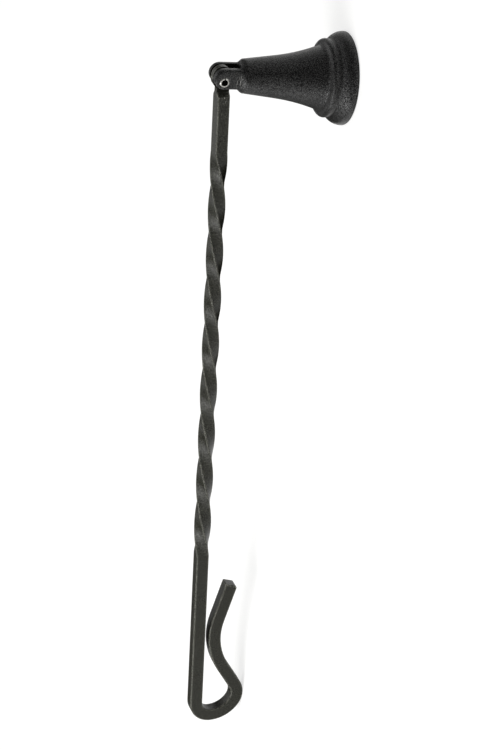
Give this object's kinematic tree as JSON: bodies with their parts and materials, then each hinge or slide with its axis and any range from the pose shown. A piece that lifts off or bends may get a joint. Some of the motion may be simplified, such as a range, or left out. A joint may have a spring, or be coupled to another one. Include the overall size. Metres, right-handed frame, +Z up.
{
  "type": "candle snuffer",
  "caption": "Long-handled candle snuffer: a hollow flared bell swings on a clevis pin at the end of a twisted square bar that ends in a hanging loop.",
  "frame": {"origin": "centre of the bell's mouth, in the plane of its rim, which is the table that the snuffer stands on", "axes": "+Z up the bell's axis towards the pivot, -X along the handle towards its hanging loop, Y along the pivot pin"},
  "size_m": [0.3819, 0.0458, 0.0677],
  "materials": {
    "bar_coat": "fine sand-textured black powder coat on mild steel bar",
    "bell_coat": "fine sand-textured black powder coat on a cast iron bell",
    "pin_steel": "bare rolled spring steel"
  },
  "bodies": {
    "handle": {"handle": "bar_coat"},
    "bell": {"bell": "bell_coat", "pivot_pin": "pin_steel"}
  },
  "joints": [
    {"name": "bell_swing", "type": "hinge", "parent": "handle", "child": "bell", "pos_m": [-0.0014, 0, 0.0626], "axis": [0, -1, 0], "range_deg": [-27, 205]}
  ]
}
